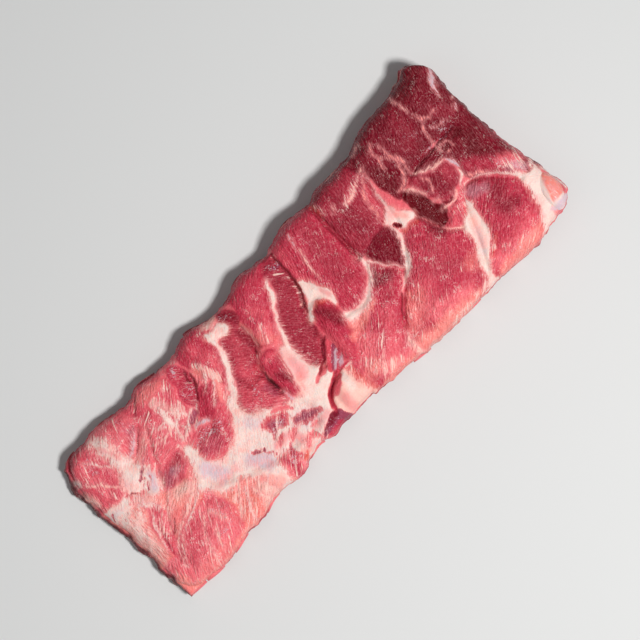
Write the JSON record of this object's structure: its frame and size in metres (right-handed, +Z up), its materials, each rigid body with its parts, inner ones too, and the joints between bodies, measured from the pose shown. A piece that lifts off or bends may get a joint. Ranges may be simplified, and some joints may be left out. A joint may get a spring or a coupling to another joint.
{
  "type": "raw rack of ribs",
  "caption": "Raw rack of pork spareribs, trimmed square, meat side up: red muscles and creamy fat over slanting rib bones whose sawn ends show along both long edges.",
  "frame": {"origin": "middle of the rack's box in plan, on the surface that it lies on", "axes": "+X along the rack towards its thick end, +Y across it towards the sawn bone ends, +Z up"},
  "size_m": [0.3564, 0.1416, 0.0372],
  "materials": {
    "meat": "moist raw pork: red and pink muscle with creamy fat, satin to wet",
    "bone": "sawn raw bone with a red spongy core",
    "gristle": "smooth wet gristle, pearly pink"
  },
  "bodies": {
    "root": {"meat": "meat", "rib_1": "bone", "rib_2": "bone", "rib_3": "bone", "rib_4": "bone", "rib_5": "bone", "rib_6": "bone", "rib_7": "bone", "rib_8": "bone", "rib_9": "bone", "gristle": "gristle"}
  },
  "joints": []
}
